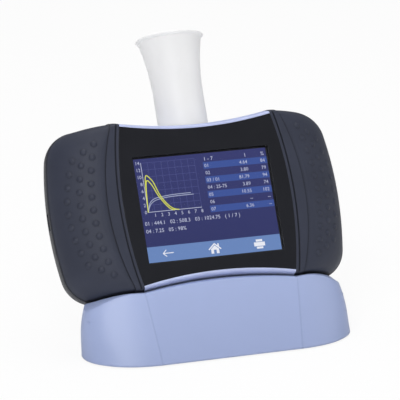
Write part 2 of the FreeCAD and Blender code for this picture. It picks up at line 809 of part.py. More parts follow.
def contact_row(name, radius, length, start):
    rods = []
    for number in range(int(v.contact_count)):
        across = "contact_across + %d*contact_pitch" % (number - 1)
        rods.append(rod("%s_%d" % (name, number), radius, length, (across, "contact_depth", start)))
    return fuse(name, *rods)


keep("charging_pads", contact_row("pads", "pad_radius", "pad_thickness", "-pad_face"))
pin_top = "-pad_face - 0.05"
barrel_top = pin_top + " - pin_proud"
pin_length = "pin_proud + 4"
barrel_start = barrel_top + " - barrel_length"
keep("contact_pins", contact_row("pins", "pin_radius", pin_length, pin_top + " - pin_proud - 4"))
barrel_bore = contact_row("barrel_bore", "pin_radius + 0.05", "barrel_length", barrel_start + " + 0.5")
keep("contact_barrels", cut("barrels", contact_row("barrel_rods", "barrel_radius", "barrel_length",
                                                   barrel_start), barrel_bore))


def block_box(name, margin, top_margin):
    side = "(barrel_radius + 1.5 + %s)" % margin
    return box(name,
               ("contact_across - contact_pitch - " + side, "contact_depth - " + side,
                barrel_start + " - %s" % margin),
               ("contact_across + contact_pitch + " + side, "contact_depth + " + side,
                barrel_top + " + %s" % top_margin))


barrel_ways = contact_row("barrel_ways", "barrel_radius + 0.02", "2*barrel_length",
                          barrel_start + " - 1")
keep("contact_block", cut("block_cut", block_box("block", "0", "-0.2"), barrel_ways))


# Cradle: a hollow shell whose pocket is the handheld's own form, with a rim and a backrest

# The cradle's plan: half-width and depth shares from the front panel's edge round to the back
FLANK = [
    (0.54, 0), (0.675, 0.016), (0.791, 0.051), (0.887, 0.107), (0.959, 0.177), (0.996, 0.271),
    (0.987, 0.362), (0.94, 0.466), (0.88, 0.622), (0.785, 0.778), (0.65, 0.915), (0.47, 1),
]


def plan(name, height, half_x, front, rear):
    """The cradle's outline at one height: a straight front, wings, flanks that close in, a straight back."""
    def side(x_sign, shares):
        curve = Part.BSplineCurve()
        curve.interpolate([Vector(x_sign * half_x * x, front + y * (rear - front), 0) for x, y in shares])
        return curve

    first, last = FLANK[0][0] * half_x, FLANK[-1][0] * half_x
    edges = [line((-first, front), (first, front)), side(1, FLANK), line((last, rear), (-last, rear)),
             side(-1, list(reversed(FLANK)))]
    return sketch(name, edges, level(height))


def cradle_form(name, inset, floor, roof):
    """The cradle's outside, straight-sided from its wide foot to its narrower top."""
    def between(low, high, height):
        return low + (high - low) * (height - v.shell_foot) / (v.cradle_top - v.shell_foot)

    top_front = v.face_setback - (v.face_height - v.cradle_top) * math.tan(lean)
    sections = []
    for tag, height in (("foot", floor), ("top", roof)):
        sections.append(plan(
            "%s_%s" % (name, tag), height,
            between(v.cradle_width, v.cradle_top_width, height) / 2 - inset,
            between(-v.cradle_front, top_front, height) + inset,
            between(v.cradle_rear, v.cradle_top_rear, height) - inset))
    return loft(name, sections, ruled=True)


def rim_profile(name, station, drop, step, centre_height, wing, end):
    """What lies above the rim at one station from front to back, seen from in front."""
    far = v.cradle_width
    top = 2 * v.cradle_top
    step, wing, end = [(x, z - drop) for x, z in (step, wing, end)]
    left = [(-x, z) for x, z in (step, wing, end)]
    edges = [
        line((-far, top), (-far, end[1])),
        line((-far, end[1]), left[2]),
        arc(left[2], left[1], left[0]),
        arc(left[0], (0, centre_height - drop), step),
        arc(step, wing, end),
        line(end, (far, end[1])),
        line((far, end[1]), (far, top)),
        line((far, top), (-far, top)),
    ]
    return sketch(name, edges, facing(station))


def rim_cutter(name, drop):
    """All that lies above the rim: low over the front and the wings, rising to the backrest behind."""
    front = ((v.rim_half_span, v.rim_step), v.rim_centre, (v.rim_half_span + 15, v.rim_step - 2), (
        v.rim_end_span, v.rim_end))
    back = ((v.backrest_half_width - 5, v.backrest_top - 0.6), v.backrest_top,
            (v.backrest_half_width + 6, v.backrest_top - 4.4), (v.backrest_half_width + 14, v.rim_end))
    sections = []
    for number, (station, shape) in enumerate((
            (-v.cradle_depth, front), (-6, front), (8, back), (v.cradle_depth, back))):
        sections.append(rim_profile("%s_%d" % (name, number), station, drop, *shape))
    return loft(name, sections, ruled=True)


def pocket_form(name, gap):
    """The room that the handheld takes in the cradle."""
    return leaned(fuse(name, front_form(name + "_front", gap, -gap, CLOSE),
                       rear_form(name + "_rear", gap, v.device_depth + gap, CLOSE)))


def foot_screw_places():
    for x in (-1, 1):
        for number, (inwards, y) in enumerate((("front_screw_inset", "-front_screw_depth"),
                                               ("rear_screw_inset", "rear_screw_depth"))):
            yield "%d%d" % (x + 1, number), "%d*(cradle_width/2 - %s)" % (x, inwards), y


outer = cradle_form("cradle_outer", 0, v.shell_foot, v.cradle_top)
inner = cradle_form("cradle_inner", v.cradle_wall, v.shell_foot - 0.5, v.cradle_top - v.cradle_wall)
solid_way = fuse("solid_way", pocket_form("pocket_wall", v.pocket_clearance + v.cradle_wall),
                 rim_cutter("rim_below", v.cradle_wall))
cavity = cut("cradle_cavity", inner, solid_way)
columns = [rod("column_" + tag, "boss_radius", "column_height", (x, y, "shell_foot + base_thickness + 0.05"))
           for tag, x, y in foot_screw_places()]
column_bores = [rod("column_bore_" + tag, "screw_radius + 0.05", "column_bore_length", (x, y, "0"))
                for tag, x, y in foot_screw_places()]
shell_solid = fuse("shell_solid", cut("shell_walls", outer, cavity), *columns)
block_way = leaned(block_box("block_way", "0.05", "20"))
rest_ways = []
rest_rods = []
for x in (-1, 1):
    place = ("%d*rest_pad_across" % x, "contact_depth", "-device_height/2 - pocket_clearance - rest_pad_thickness")
    rest_ways.append(rod("rest_way_%d" % (x + 1), "rest_pad_radius + 0.05", "rest_pad_thickness + 12", place))
    rest_rods.append(rod("rest_rod_%d" % (x + 1), "rest_pad_radius", "rest_pad_thickness + 6", place))
rest_way = leaned(fuse("rest_way", *rest_ways))
socket_way = box("socket_way",
                 ("socket_across - socket_width/2 - 0.3", "20", "socket_centre_height - socket_height/2 - 0.3"),
                 ("socket_across + socket_width/2 + 0.3", "cradle_depth",
                  "socket_centre_height + socket_height/2 + 0.3"))
keep("cradle_shell", cut("shell_cut", shell_solid, pocket_form("pocket", v.pocket_clearance),
                         rim_cutter("rim_above", 0), block_way, rest_way, socket_way, *column_bores), False)

rest_room = fuse("rest_room", front_form("rest_room_front", v.seat_gap, -v.seat_gap),
                 rear_form("rest_room_rear", v.seat_gap, v.device_depth + v.seat_gap))
keep("pocket_pads", cut("rest_pads", fuse("rest_rods", *rest_rods), rest_room))


def plan_extrude(name, profile, height):
    obj = doc.addObject("Part::Extrusion", name)
    obj.Base = profile
    obj.DirMode = "Custom"
    obj.Dir = Vector(0, 0, 1)
    obj.Solid = True
    bind(obj, "LengthFwd", height)
    return obj


plate = cradle_form("plate", v.cradle_wall + 0.25, v.shell_foot, v.shell_foot + v.base_thickness)


def rubber_line(name, margin):
    """The rubber sheet's outline: a long rectangle with rounded corners."""
    half_x = v.base_pad_width / 2 + margin
    half_y = v.base_pad_depth / 2 + margin
    radius = v.base_pad_corner
    diagonal = radius * (1 - math.sqrt(0.5))
    edges = []
    for x, y in ((1, -1), (1, 1), (-1, 1), (-1, -1)):
        on_long = (x * (half_x - radius), y * half_y)
        on_short = (x * half_x, y * (half_y - radius))
        middle = (x * (half_x - diagonal), y * (half_y - diagonal))
        ends = (on_long, on_short) if x * y < 0 else (on_short, on_long)
        edges.append((ends[0], middle, ends[1]))
    outline_edges = []
    for number, (start, middle, end) in enumerate(edges):
        outline_edges.append(arc(start, middle, end))
        outline_edges.append(line(end, edges[(number + 1) % 4][0]))
    return sketch(name, outline_edges, level(0))


keep("base_pad", plan_extrude("rubber", rubber_line("rubber_line", 0), "base_pad_thickness"), False)
pad_way = plan_extrude("pad_way", rubber_line("pad_way_line", 0.1), "base_pad_thickness")
plate_top = "shell_foot + base_thickness"
board_top = "socket_centre_height - socket_height/2"
stands = []
for number, (x, y) in enumerate(((-12, 17), (11, 17), (-12, 28), (11, 28))):
    stands.append(rod("stand_%d" % number, "stand_radius", board_top + " - board_thickness - (%s)" % plate_top,
                      ("socket_across + %d" % x, str(y), plate_top)))
plate_screw_ways = []
foot_screws = []
for tag, x, y in foot_screw_places():
    plate_screw_ways.append(rod("plate_way_" + tag, "screw_radius + 0.1", "20", (x, y, "0")))
    plate_screw_ways.append(rod("plate_sink_" + tag, "screw_head_radius + 0.2", "foot_sink_depth", (x, y, "0")))
    shank = rod("foot_shank_" + tag, "screw_radius", "foot_screw_length", (x, y, "foot_screw_start"))
    head = rod("foot_head_" + tag, "screw_head_radius", "foot_head_height", (x, y, "foot_head_seat"))
    foot_screws.append(fuse("foot_screw_" + tag, shank, head))
keep("base_plate", cut("plate_cut", fuse("plate_solid", plate, *stands), pad_way, *plate_screw_ways), False)
keep("base_screws", fuse("foot_screws", *foot_screws), False)
keep("ballast_plate", box("ballast", ("-ballast_width/2", "-ballast_front", plate_top),
                          ("ballast_width/2", "ballast_depth - ballast_front", plate_top + " + ballast_thickness")), False)
keep("cradle_board", box("charge_board", ("socket_across - charge_board_left", "charge_board_front",
                                          board_top + " - board_thickness"),
                         ("socket_across + charge_board_right", "charge_board_front + charge_board_depth",
                          board_top)), False)
socket_outer = box("socket_outer",
                   ("socket_across - socket_width/2", "socket_back", board_top),
                   ("socket_across + socket_width/2", "socket_back + socket_length",
                    board_top + " + socket_height"))
socket_inner = box("socket_inner",
                   ("socket_across - socket_width/2 + socket_wall", "socket_back + socket_wall",
                    board_top + " + socket_wall"),
                   ("socket_across + socket_width/2 - socket_wall", "socket_back + socket_length + 1",
                    board_top + " + socket_height - socket_wall"))
socket_tongue = box("socket_tongue",
                    ("socket_across - socket_width/2 + 2", "socket_back", board_top + " + 0.4*socket_height"),
                    ("socket_across + socket_width/2 - 2", "socket_back + socket_length - 1.5",
                     board_top + " + 0.6*socket_height"))
keep("power_socket", fuse("socket", cut("socket_shell", socket_outer, socket_inner), socket_tongue), False)

doc.recompute()

# Every object has to be sound before anything is written
for obj in doc.Objects:
    if "Invalid" in obj.State or "Error" in obj.State:
        raise RuntimeError("%s (%s) failed" % (obj.Name, obj.Label))
for label, obj in parts.items():
    if obj.Shape.isNull() or not obj.Shape.isValid() or not obj.Shape.Solids:
        raise RuntimeError("%s has no sound solid" % label)

os.makedirs("parts", exist_ok=True)
for label, obj in parts.items():
    obj.Shape.exportStep("parts/%s.step" % label)
    print("%-20s solids %d  volume %.0f" % (label, len(obj.Shape.Solids), obj.Shape.Volume))
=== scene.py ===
import math

import bmesh
import bpy
from bpy.props import FloatProperty, FloatVectorProperty, PointerProperty
from mathutils import Matrix, Vector


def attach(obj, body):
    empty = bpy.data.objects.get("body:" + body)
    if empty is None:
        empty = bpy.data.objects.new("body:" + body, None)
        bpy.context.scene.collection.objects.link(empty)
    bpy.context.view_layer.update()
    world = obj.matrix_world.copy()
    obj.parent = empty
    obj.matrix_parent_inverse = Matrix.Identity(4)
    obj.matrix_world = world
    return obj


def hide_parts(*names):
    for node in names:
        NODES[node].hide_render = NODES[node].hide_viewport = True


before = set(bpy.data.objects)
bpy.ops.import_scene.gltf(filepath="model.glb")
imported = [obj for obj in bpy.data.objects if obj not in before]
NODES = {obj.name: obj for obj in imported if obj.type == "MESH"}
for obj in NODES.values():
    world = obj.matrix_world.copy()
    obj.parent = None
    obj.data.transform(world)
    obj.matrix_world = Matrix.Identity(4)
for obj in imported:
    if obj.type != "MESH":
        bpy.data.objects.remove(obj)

bl_info = {
    "name": "Desk Spirometer",
    "version": (1, 0, 0),
    "blender": (4, 5, 0),
    "location": "3D View > Sidebar > Spirometer",
    "description": "Dresses a handheld spirometer and its desk cradle",
    "category": "Object",
}

MM = 0.001

# Where the cradle's outside is cut for more vertices, and where it is warped
LEVEL_STEP = 2.5 * MM
LEVELS = range(1, 14)
SIDE_CUTS = range(38, 63, 2)    # millimetres from the middle
SWELL_TOP = 33 * MM
SWELL_CURVE = 1.3
SHOULDER_START, SHOULDER_END = 48 * MM, 62 * MM
WING_START, WING_WIDTH = 39 * MM, 23 * MM
WING_BACK = -8 * MM
WING_FOOT = 6 * MM
FACE_START, FACE_END = -3 * MM, -1 * MM    # depths in the handheld's own frame
SHARP_ANGLE = math.radians(32)

# The fine crease down each side of the cradle's front: a bumped fold, darkened with painted shade
LINE_FOOT = 36.6 * MM
LINE_SPLAY = 0.11
LINE_HALF_WIDTH = 0.7 * MM
LINE_BACK = -12 * MM

# Screen content, all in millimetres: across and down from the lit area's top left corner
DIGIT_SHARE = 0.7    # height of a digit in a font of size 1
AREA_LIFT, GRID_LIFT, AXES_LIFT, FAINT_LIFT, STRONG_LIFT, INK_LIFT = 0.03, 0.05, 0.07, 0.08, 0.09, 0.1
BAR_TOP = 44.7
GRAPH_LEFT, GRAPH_TOP, GRAPH_FOOT = 3.6, 2.1, 27.2
GRAPH_WIDE, GRAPH_HIGH = 8, 14
UNIT_ACROSS, UNIT_UP = 3.51, 1.79
STRONG_CURVES = (
    ((0, 0), (0.12, 5), (0.3, 9.6), (0.5, 10.5), (0.75, 10.2), (1.4, 8.6), (1.65, 7.1), (1.95, 5.2),
     (2.4, 3.5), (3.0, 1.8), (3.5, 0.8), (4.0, 0.2), (4.6, 0)),
    ((0, 0), (0.14, 4.5), (0.3, 8), (0.5, 9.1), (0.8, 8.7), (1.3, 7.1), (1.7, 5), (2.2, 3.3),
     (2.9, 1.3), (3.4, 0.3), (3.9, 0)),
)
FAINT_CURVES = (
    ((0.05, 0), (0.2, 1.5), (0.5, 2.7), (0.9, 3.4), (1.5, 3.85), (3.3, 4.3), (5, 4.4), (6.7, 4.4)),
    ((0.05, 0), (0.28, 1.4), (0.65, 2.4), (1.1, 3), (1.7, 3.4), (3.3, 3.8), (5, 3.9), (7.1, 3.9)),
)
ROW = 3.72    # from one table row to the next
ROWS_LEFT, ROWS_TOP, ROW_FOOT, ROW_BASE = 36, 4.6, 8.0, 7.2
LABELS_LEFT, VALUES_RIGHT, SHARES_RIGHT = 36.5, 59.4, 68.9
HEADING_BASE = 3.8
HEADINGS = (("1 - 7", LABELS_LEFT, "LEFT"), ("1", VALUES_RIGHT, "RIGHT"), ("%", SHARES_RIGHT, "RIGHT"))
TABLE = (
    ("01", "4.64", "84"),
    ("02", "3.80", "79"),
    ("03 / 01", "81.79", "94"),
    ("04 : 25-75", "3.89", "74"),
    ("05", "10.55", "102"),
    ("06", "--", "--"),
    ("07", "6.36", "--"),
)
NOTES_LEFT = 0.9
NOTES = (
    ("01 : 444.1   02 : 508.3   03 : 1024.75   ( 1 / 7 )", 33.8),
    ("04 : 7.25   05 : 98%", 37.7),
)
AXIS_DIGITS, TABLE_DIGITS, NOTE_DIGITS = 1.7, 1.75, 1.9
BESIDE_AXIS, BELOW_AXIS, BELOW_GRID_LINE = 0.6, 2.6, 0.8    # from the axis or grid line to its digits
GRID_LINE, AXIS_LINE, STRONG_LINE, FAINT_LINE, ARROW_LINE, ROOF_LINE = 0.16, 0.28, 0.5, 0.34, 0.42, 0.62
ARROW = (((9.6, 46.9), (7.9, 48.5), (9.6, 50.1)), ((8.1, 48.5), (13.2, 48.5)))
ROOF = ((31.9, 49), (35, 46.3), (38.1, 49))
CHIMNEY = (36.6, 46.3, 37.3, 48)
HOUSE_SHAPES = (
    ((32.9, 51.2), (34.3, 51.2), (34.3, 49.3), (32.9, 48.9)),
    ((35.7, 51.2), (37.1, 51.2), (37.1, 48.9), (35.7, 49.3)),
    ((32.9, 48.9), (34.3, 49.3), (35.7, 49.3), (37.1, 48.9), (35, 47.1)),
)
PRINTER_AREAS = ((57, 46.4, 60.4, 47.5), (55.8, 47.8, 61.6, 49.8), (57, 50.1, 60.4, 51.1))
ICON_LIGHT = (0.9, 0.92, 1.0)

# Stage, in metres
CAMERA_NEAR = 0.05
SENSOR_MILLIMETRES = 36
FLOOR_HALF = 3.0
FLOOR_DROP = 0.2 * MM
LAMP_AIM = (0, 0, 0.07)
LAMPS = (
    ("key_lamp", (-0.75, -1.15, 1.25), (1.1, 0.9), "key_power"),
    ("fill_lamp", (1.3, -0.7, 0.7), (0.9, 0.9), "fill_power"),
    ("top_lamp", (0.1, 0.5, 1.5), (1.2, 1.2), "top_power"),
)


def srgb(red, green, blue):
    """A colour as it shows on a screen, from 0 to 255, turned into Blender's linear values."""
    def linear(value):
        value /= 255
        return value / 12.92 if value <= 0.04045 else ((value + 0.055) / 1.055) ** 2.4
    return linear(red), linear(green), linear(blue)


def colour(name, description, default):
    return FloatVectorProperty(
        name=name, description=description, subtype="COLOR", size=3, min=0, max=1, default=default)


def length(name, description, default):
    return FloatProperty(
        name=name, description=description, subtype="DISTANCE", unit="LENGTH", default=default)


class SpirometerFinishes(bpy.types.PropertyGroup):
    """Colours of the mouldings and the trim"""

    grip: colour("Grip", "Soft grips at both ends of the handheld", srgb(51, 55, 70))
    housing: colour("Housing", "Moulded strip between the grips", srgb(190, 200, 238))
    rear: colour("Rear housing", "Dark back half of the handheld", srgb(44, 46, 54))
    bezel: colour("Bezel", "Glossy surround of the screen", srgb(33, 34, 39))
    cradle: colour("Cradle", "Desk cradle", srgb(163, 177, 217))
    tube: colour("Breathing tube", "Disposable tube", srgb(217, 217, 218))


class ScreenFinishes(bpy.types.PropertyGroup):
    """Colours shown by the lit screen"""

    top: colour("Top", "Background at the top of the screen", srgb(62, 66, 118))
    bottom: colour("Bottom", "Background above the bottom bar", srgb(56, 60, 107))
    rows: colour("Rows", "Table rows that stand out", srgb(68, 90, 160))
    grid: colour("Grid", "Graph's grid", srgb(88, 92, 150))
    bar: colour("Bar", "Bottom bar", srgb(112, 142, 197))
    ink: colour("Ink", "Numbers and lines", srgb(200, 205, 232))
    strong_line: colour("Strong line", "Measured curves", srgb(222, 226, 92))
    faint_line: colour("Faint line", "Reference curves", srgb(176, 184, 214))


class SpirometerSizes(bpy.types.PropertyGroup):
    """Where the handheld stands and how its trim is sized"""

    lean: FloatProperty(name="Lean", description="How far the handheld leans back",
                        subtype="ANGLE", unit="ROTATION", default=math.radians(28))
    setback: length("Setback", "The middle of the handheld's face, from the cradle's middle", -2.6 * MM)
    height: length("Height", "The middle of the handheld's face, above the desk", 71.8 * MM)
    screen_width: length("Screen width", "Lit area", 70.1 * MM)
    screen_height: length("Screen height", "Lit area", 52.6 * MM)
    screen_drop: length("Screen drop", "The lit area's middle, below the handheld's", 2.9 * MM)
    screen_depth: length("Screen depth", "The lit face, behind the handheld's face", 1.9 * MM)
    shoulder_swell: length("Shoulder swell", "How far the cradle's shoulders stand out", 1.95 * MM)
    wing_hollow: length("Wing hollow", "How deep the cradle's front wings are hollowed", 0.8 * MM)


class StageSettings(bpy.types.PropertyGroup):
    """Camera, lamps and floor"""

    azimuth: FloatProperty(name="Azimuth", description="Camera's turn about the upright axis",
                           subtype="ANGLE", unit="ROTATION", default=math.radians(-19.737))
    elevation: FloatProperty(name="Elevation", description="Camera's height above level",
                             subtype="ANGLE", unit="ROTATION", default=math.radians(16.114))
    distance: length("Distance", "From the camera to the screen", 1.3)
    shift_right: length("Aim to the side", "The aim, from the screen's middle", -4.46 * MM)
    shift_up: length("Aim upwards", "The aim, from the screen's middle", 1.92 * MM)
    focal: FloatProperty(name="Focal length", description="In millimetres on a 36 mm frame",
                         subtype="DISTANCE_CAMERA", default=235.2)
    key_power: FloatProperty(name="Key lamp", description="Power of the large front lamp",
                             subtype="POWER", default=19)
    fill_power: FloatProperty(name="Fill lamp", description="Power of the side lamp",
                              subtype="POWER", default=3)
    top_power: FloatProperty(name="Top lamp", description="Power of the lamp overhead",
                             subtype="POWER", default=12)
    ambient: FloatProperty(name="Ambient", description="Strength of the even light all round",
                           default=0.21)
    floor_glow: FloatProperty(name="Floor glow", description="Share of plain white that the camera sees",
                              min=0, max=1, default=0.9)


# Places

def on_handheld(x, y, z):
    """A point of the handheld's own frame: x right, y into it from its face, z up its face."""
    sizes = bpy.context.scene.spirometer_sizes
    lean = sizes.lean
    return Vector((
        x,
        sizes.setback + y * math.cos(lean) + z * math.sin(lean),
        sizes.height - y * math.sin(lean) + z * math.cos(lean)))


def on_screen(across, down, lift=0):
    """A point of the lit area, in millimetres from its top left corner."""
    sizes = bpy.context.scene.spirometer_sizes
    return on_handheld(
        across * MM - sizes.screen_width / 2,
        sizes.screen_depth - lift * MM,
        sizes.screen_height / 2 - sizes.screen_drop - down * MM)


def new_piece(name, points, faces, body, material):
    mesh = bpy.data.meshes.new(name)
    mesh.from_pydata([tuple(point) for point in points], [], faces)
    mesh.validate()
    mesh.update()
    piece = bpy.data.objects.new(name, mesh)
    bpy.context.scene.collection.objects.link(piece)
    piece.data.materials.append(material)
    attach(piece, body)


def smooth_step(value, low, high):
    share = min(1.0, max(0.0, (value - low) / (high - low)))
    return share * share * (3 - 2 * share)


def swelled_shell(sizes):
    """The cradle's shell with the rounded shoulders and the hollowed wings of its outside."""
    mesh = NODES["cradle_shell"].data.copy()
    work = bmesh.new()
    work.from_mesh(mesh)
    planes = [((0, 0, LEVEL_STEP * level), (0, 0, 1)) for level in LEVELS]
    planes += [((sign * across * MM, 0, 0), (1, 0, 0)) for sign in (-1, 1) for across in SIDE_CUTS]
    for place, normal in planes:
        bmesh.ops.bisect_plane(work, geom=work.verts[:] + work.edges[:] + work.faces[:],
                               plane_co=place, plane_no=normal)
    for vertex in work.verts:
        x, y, z = vertex.co
        depth = (y - sizes.setback) * math.cos(sizes.lean) - (z - sizes.height) * math.sin(sizes.lean)
        ahead = 1 - smooth_step(depth, FACE_START, FACE_END)
        rise = math.sin(math.pi * min(1.0, max(0.0, z / SWELL_TOP))) ** SWELL_CURVE
        shoulder = smooth_step(abs(x), SHOULDER_START, SHOULDER_END)
        vertex.co.x += math.copysign(sizes.shoulder_swell * rise * shoulder, x)
        across = (abs(x) - WING_START) / WING_WIDTH
        if 0 < across < 1 and y < WING_BACK:
            hollow = sizes.wing_hollow * math.sin(math.pi * across)
            vertex.co.y += hollow * ahead * min(1.0, z / WING_FOOT)
    work.to_mesh(mesh)
    work.free()
    mesh.shade_smooth()
    mesh.set_sharp_from_angle(angle=SHARP_ANGLE)
    piece = bpy.data.objects.new("cradle_outside", mesh)
    bpy.context.scene.collection.objects.link(piece)
    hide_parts("cradle_shell")
    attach(piece, "cradle")
    return piece


def paint(node, material):
    """Gives a finished material to a carried-over solid."""
    obj = NODES[node]
    obj.data.materials.clear()
    obj.data.materials.append(material)


# Materials

WHITE = (1, 1, 1)


class Finish:
    """Builds one node material round a Principled shader."""

    def __init__(self, name):
        self.material = bpy.data.materials.new(name)
        self.material.use_nodes = True
        self.nodes = self.material.node_tree.nodes
        self.links = self.material.node_tree.links
        self.shader = self.nodes["Principled BSDF"]
        self.place = self.nodes.new("ShaderNodeTexCoord").outputs["Object"]

    def axes(self):
        """The object's own X, Y and Z."""
        split = self.nodes.new("ShaderNodeSeparateXYZ")
        self.join(self.place, split.inputs["Vector"])
        return split.outputs["X"], split.outputs["Y"], split.outputs["Z"]

    def join(self, source, target):
        self.links.new(source, target)
        return self

    def set(self, **values):
        for name, value in values.items():
            self.shader.inputs[name.replace("_", " ")].default_value = value

    def noise(self, scale, detail=3, stretch=None):
        node = self.nodes.new("ShaderNodeTexNoise")
        node.inputs["Scale"].default_value = scale
        node.inputs["Detail"].default_value = detail
        place = self.place
        if stretch:
            mapping = self.nodes.new("ShaderNodeMapping")
            mapping.inputs["Scale"].default_value = stretch
            self.join(place, mapping.inputs["Vector"])
            place = mapping.outputs["Vector"]
        self.join(place, node.inputs["Vector"])
        return node.outputs["Fac"]

    def blend(self, factor, first, second, low=0.0, high=1.0):
        """Two colours mixed by a value between two levels."""
        ramp = self.nodes.new("ShaderNodeValToRGB")
        ramp.color_ramp.elements[0].position = low
        ramp.color_ramp.elements[0].color = (*first, 1)
        ramp.color_ramp.elements[1].position = high
        ramp.color_ramp.elements[1].color = (*second, 1)
        self.join(factor, ramp.inputs["Fac"])
        return ramp.outputs["Color"]

    def spread(self, factor, low, high):
        node = self.nodes.new("ShaderNodeMapRange")
        node.inputs["To Min"].default_value = low
        node.inputs["To Max"].default_value = high
        self.join(factor, node.inputs["Value"])
        return node.outputs["Result"]

    def soft_edges(self, radius):
        node = self.nodes.new("ShaderNodeBevel")
        node.samples = 6
        node.inputs["Radius"].default_value = radius
        return node.outputs["Normal"]

    def openness(self, distance):
        """How open the surface lies within a distance: low in seams and at the foot of a nub."""
        node = self.nodes.new("ShaderNodeAmbientOcclusion")
        node.samples = 8
        node.inputs["Distance"].default_value = distance
        return node.outputs["AO"]

    def reckon(self, operation, first, second=0.0):
        """A Math node on two levels, each a number or another node's."""
        node = self.nodes.new("ShaderNodeMath")
        node.operation = operation
        for place, value in enumerate((first, second)):
            if isinstance(value, float):
                node.inputs[place].default_value = value
            else:
                self.join(value, node.inputs[place])
        return node.outputs["Value"]

    def multiply(self, first, second):
        node = self.nodes.new("ShaderNodeMix")
        node.data_type = "RGBA"
        node.blend_type = "MULTIPLY"
        node.inputs["Factor"].default_value = 1
        self.join(first, node.inputs["A"]).join(second, node.inputs["B"])
        return node.outputs["Result"]

    def bump(self, height, distance, strength, normal=None):
        node = self.nodes.new("ShaderNodeBump")
        node.inputs["Strength"].default_value = strength
        node.inputs["Distance"].default_value = distance
        self.join(height, node.inputs["Height"])
        if normal is not None:
            self.join(normal, node.inputs["Normal"])
        self.join(node.outputs["Normal"], self.shader.inputs["Normal"])


def scaled(base, factor):
    return tuple(min(1.0, channel * factor) for channel in base)


def cradle_plastic(name, base):
    """The cradle's plastic, with painted light: lighter towards its top as painted light from above, a
    painted highlight on its rounded edges, painted shade in its seam, and a fine crease down each side,
    bumped and darkened with painted shade.
    """
    finish = Finish(name)
    reckon = finish.reckon
    across, along, up = finish.axes()
    line = reckon("ADD", reckon("MULTIPLY", up, LINE_SPLAY), LINE_FOOT)
    beside = reckon("ABSOLUTE", reckon("SUBTRACT", reckon("ABSOLUTE", across), line))
    crease_shade_and_fold = reckon("SUBTRACT", 1.0, reckon("DIVIDE", beside, LINE_HALF_WIDTH))
    crease_shade_and_fold = reckon("MULTIPLY", reckon("MAXIMUM", crease_shade_and_fold), reckon("LESS_THAN", along, LINE_BACK))

    # Painted light: the colour runs from 1.05 to 1.2 times the base from the foot to the top, lighter
    # where light from above falls; the noise adds a random tone.
    cloud = reckon("MULTIPLY", finish.noise(90, 4), 0.2)
    level = reckon("ADD", reckon("MULTIPLY", up, 24.0), cloud)
    tint = finish.blend(level, scaled(base, 1.05), scaled(base, 1.2), 0.1, 0.95)
    soft = finish.soft_edges(0.0014)
    turn = finish.nodes.new("ShaderNodeVectorMath")
    turn.operation = "DOT_PRODUCT"
    flat = finish.nodes.new("ShaderNodeNewGeometry").outputs["True Normal"]
    finish.join(soft, turn.inputs[0]).join(flat, turn.inputs[1])
    for cue, first, second, low, high in (
        # Painted highlight: the rounded edges, where the softened normal turns away from the true one,
        # keep the full colour, and the flat faces are darkened.
        (turn.outputs["Value"], WHITE, (0.88, 0.88, 0.88), 0.82, 0.99),
        # Painted shade along the fine crease down each side.
        (crease_shade_and_fold, WHITE, (0.86, 0.87, 0.9), 0.0, 1.0),
        # Painted shade: dark where the surface lies enclosed, in the seam where the handheld sits.
        (finish.openness(0.003), (0.03, 0.03, 0.04), WHITE, 0.3, 0.6),
    ):
        tint = finish.multiply(tint, finish.blend(cue, first, second, low, high))
    finish.join(tint, finish.shader.inputs["Base Color"])
    finish.join(finish.spread(finish.noise(650), 0.36, 0.46), finish.shader.inputs["Roughness"])

    fold = finish.nodes.new("ShaderNodeBump")
    fold.inputs["Strength"].default_value = 0.7
    fold.inputs["Distance"].default_value = 0.00012
    finish.join(crease_shade_and_fold, fold.inputs["Height"]).join(soft, fold.inputs["Normal"])
    finish.bump(finish.noise(2600, 2), 0.00002, 0.5, fold.outputs["Normal"])
    return finish.material


def moulded(name, base, roughness, grain=2600, depth=0.00002, edge=0.0004, mottle=0.06, **more):
    """Moulded plastic: a little cloudiness, a fine spark-eroded grain, softened edges."""
    finish = Finish(name)
    dark, light = scaled(base, 1 - mottle), scaled(base, 1 + mottle)
    tint = finish.blend(finish.noise(90, 4), dark, light, 0.3, 0.7)
    finish.join(tint, finish.shader.inputs["Base Color"])
    finish.join(finish.spread(finish.noise(grain / 4), roughness - 0.05, roughness + 0.05),
                finish.shader.inputs["Roughness"])
    finish.bump(finish.noise(grain, 2), depth, 0.5, finish.soft_edges(edge))
    finish.set(**more)
    return finish.material


def rubber(name, base, roughness=0.58):
    """Soft overmoulding: matte, with painted shade at the foot of its nubs and in its seams, and a fine
    stipple.
    """
    finish = Finish(name)
    tint = finish.blend(finish.noise(60, 5), scaled(base, 0.93), scaled(base, 1.07), 0.3, 0.7)
    # Painted shade: darker where the surface lies enclosed, around the foot of each nub and in seams.
    shade = finish.blend(finish.openness(0.0018), (0.38, 0.38, 0.4), WHITE, 0.86, 0.985)
    tint = finish.multiply(tint, shade)
    finish.join(tint, finish.shader.inputs["Base Color"])
    finish.join(finish.spread(finish.noise(500), roughness - 0.06, roughness + 0.06),
                finish.shader.inputs["Roughness"])
    finish.bump(finish.noise(3200, 2), 0.00002, 0.5, finish.soft_edges(0.00015))
    finish.set(Sheen_Weight=0.03, Sheen_Roughness=0.4, Specular_IOR_Level=0.3)
    return finish.material


def glossy_black(name, base):
    """Smooth black moulding with the faint waviness of a moulded face."""
    finish = Finish(name)
    tint = finish.blend(finish.noise(40, 4), scaled(base, 0.92), scaled(base, 1.08), 0.3, 0.7)
    finish.join(tint, finish.shader.inputs["Base Color"])
    finish.join(finish.spread(finish.noise(150), 0.16, 0.24), finish.shader.inputs["Roughness"])
    finish.bump(finish.noise(30, 2), 0.0002, 0.05, finish.soft_edges(0.0003))
    finish.set(Specular_IOR_Level=0.22, Coat_Weight=0.1, Coat_Roughness=0.1)
    return finish.material


